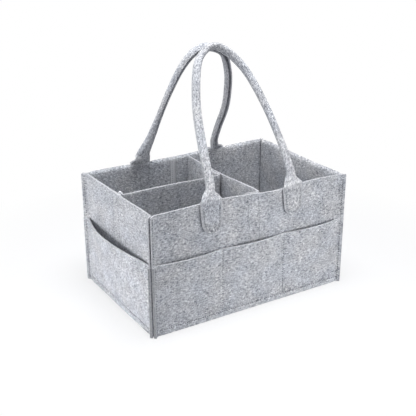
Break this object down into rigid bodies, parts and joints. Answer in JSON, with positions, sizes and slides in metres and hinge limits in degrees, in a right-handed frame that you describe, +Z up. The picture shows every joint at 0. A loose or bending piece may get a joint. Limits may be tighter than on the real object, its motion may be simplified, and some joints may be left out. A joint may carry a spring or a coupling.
{
  "type": "diaper caddy",
  "caption": "Open felt basket with outer pockets, rolled felt carry handles that lean together, and lift-out dividers that make compartments.",
  "frame": {"origin": "middle of the bounding box's base, on the plane that the basket stands on", "axes": "+X along the basket to its right end, -Y out of the front wall, +Z up"},
  "size_m": [0.3664, 0.2352, 0.381],
  "materials": {
    "felt": "matte, pressed grey melange felt",
    "loop_tape": "matte, fine looped pile",
    "hook_tape": "satin, fine nylon hooks"
  },
  "bodies": {
    "basket": {"front_wall": "felt", "back_wall": "felt", "left_end_wall": "felt", "right_end_wall": "felt", "floor_panel": "felt", "front_pocket": "felt", "back_pocket": "felt", "left_end_pocket": "felt", "right_end_pocket": "felt", "front_left_tab": "felt", "front_right_tab": "felt", "back_left_tab": "felt", "back_right_tab": "felt", "front_wall_loop_tape": "loop_tape", "back_wall_loop_tape": "loop_tape", "left_wall_loop_tape": "loop_tape"},
    "front_handle": {"front_handle_strap": "felt"},
    "back_handle": {"back_handle_strap": "felt"},
    "cross_divider": {"cross_divider_panel": "felt", "cross_divider_loop_tape": "loop_tape"},
    "cross_front_flap": {"cross_divider_front_flap": "felt", "front_flap_hook_tape": "hook_tape"},
    "cross_back_flap": {"cross_divider_back_flap": "felt", "back_flap_hook_tape": "hook_tape"},
    "long_divider": {"long_divider_panel": "felt"},
    "long_left_flap": {"long_divider_left_flap": "felt", "left_flap_hook_tape": "hook_tape"},
    "long_right_flap": {"long_divider_right_flap": "felt", "right_flap_hook_tape": "hook_tape"}
  },
  "joints": [
    {"name": "front_handle_swing", "type": "hinge", "parent": "basket", "child": "front_handle", "pos_m": [0, -0.1113, 0.1815], "axis": [1, 0, 0], "range_deg": [0, 165]},
    {"name": "back_handle_swing", "type": "hinge", "parent": "basket", "child": "back_handle", "pos_m": [0, 0.1113, 0.1815], "axis": [-1, 0, 0], "range_deg": [0, 165]},
    {"name": "cross_divider_lift", "type": "slide", "parent": "basket", "child": "cross_divider", "axis": [0, 0, 1], "range_m": [0, 0.172]},
    {"name": "long_divider_lift", "type": "slide", "parent": "basket", "child": "long_divider", "axis": [0, 0, 1], "range_m": [0, 0.172]},
    {"name": "cross_front_flap_fold", "type": "hinge", "parent": "cross_divider", "child": "cross_front_flap", "pos_m": [0.01435, -0.0989, 0.095], "axis": [0, 0, -1], "range_deg": [0, 80]},
    {"name": "cross_back_flap_fold", "type": "hinge", "parent": "cross_divider", "child": "cross_back_flap", "pos_m": [0.01435, 0.0989, 0.095], "axis": [0, 0, 1], "range_deg": [0, 80]},
    {"name": "long_left_flap_fold", "type": "hinge", "parent": "long_divider", "child": "long_left_flap", "pos_m": [-0.1559, -0.00735, 0.095], "axis": [0, 0, -1], "range_deg": [0, 80]},
    {"name": "long_right_flap_fold", "type": "hinge", "parent": "long_divider", "child": "long_right_flap", "pos_m": [0.0084, -0.00085, 0.095], "axis": [0, 0, 1], "range_deg": [0, 80]}
  ]
}
